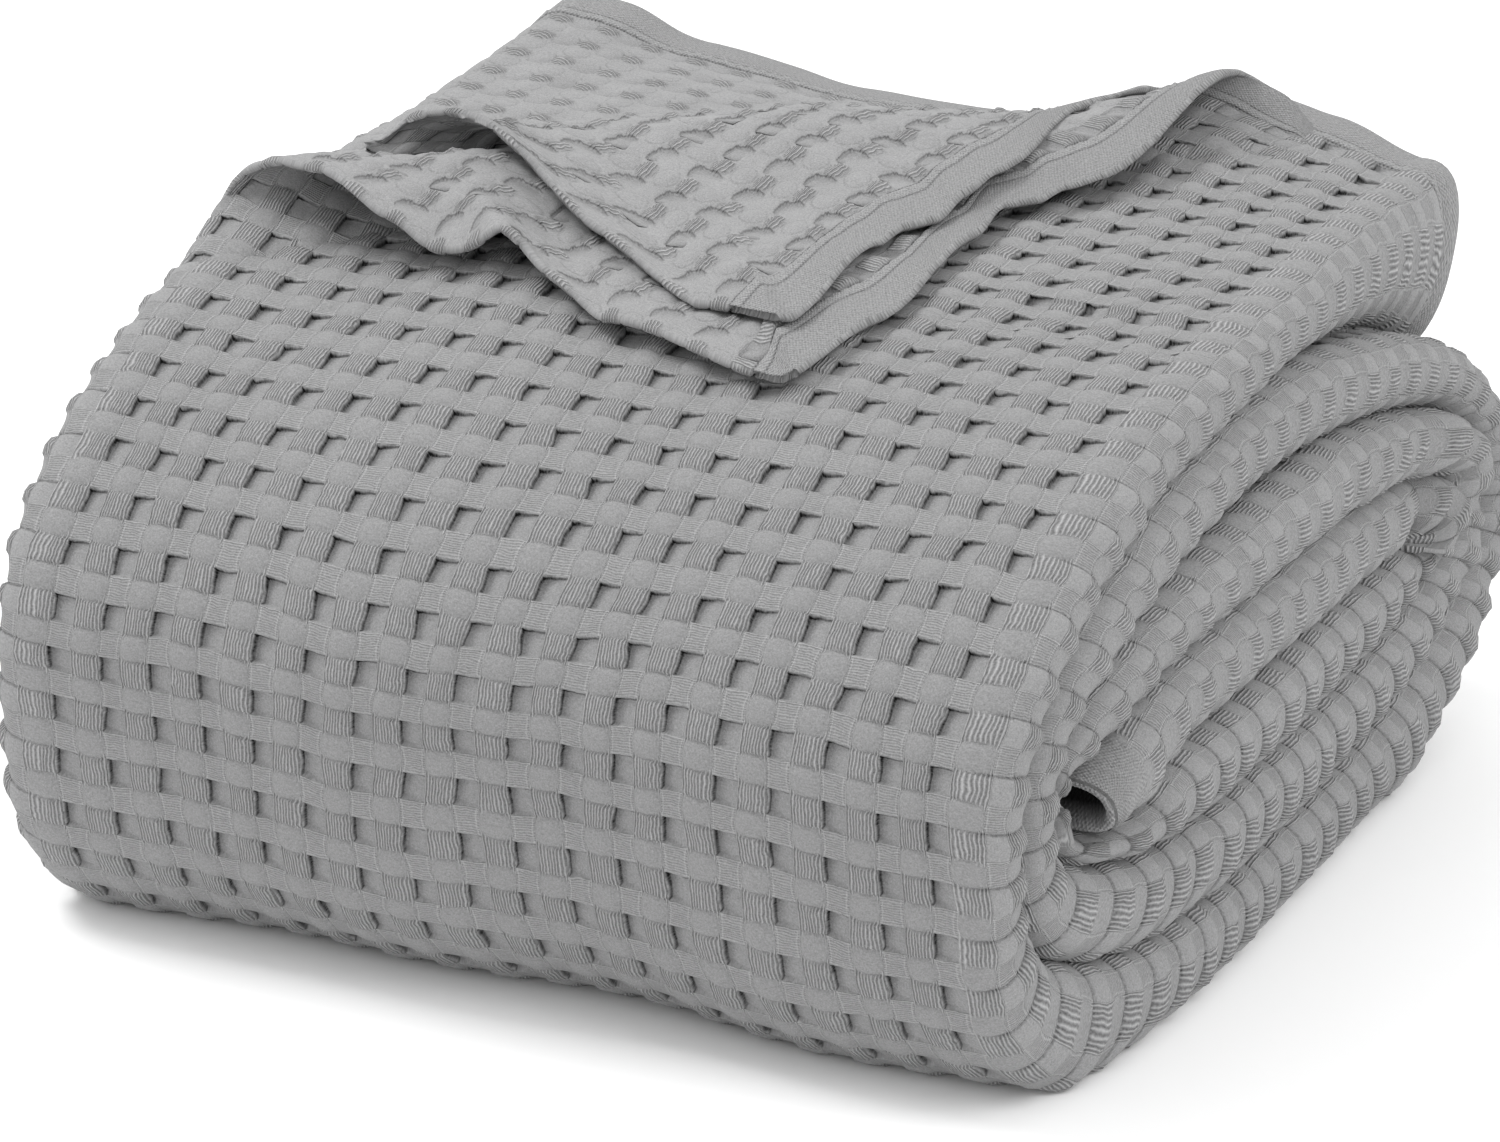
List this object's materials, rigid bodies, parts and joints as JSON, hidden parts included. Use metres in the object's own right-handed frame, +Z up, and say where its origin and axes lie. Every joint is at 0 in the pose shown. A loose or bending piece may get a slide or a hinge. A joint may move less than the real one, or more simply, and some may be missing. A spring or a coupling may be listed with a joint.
{
  "type": "rolled waffle weave cotton blanket",
  "caption": "Waffle weave cotton blanket folded lengthwise into a strip and rolled into a flattened spiral on its side, with the corner of its loose end turned back on top.",
  "frame": {"origin": "centre of the bounding box on the surface that the roll rests on", "axes": "+X along the roll towards the end with the open spiral, -Y to the front face, +Z up"},
  "size_m": [0.3986, 0.4102, 0.2326],
  "materials": {
    "cotton": "matt woven cotton"
  },
  "bodies": {
    "root": {"blanket": "cotton"}
  },
  "joints": []
}
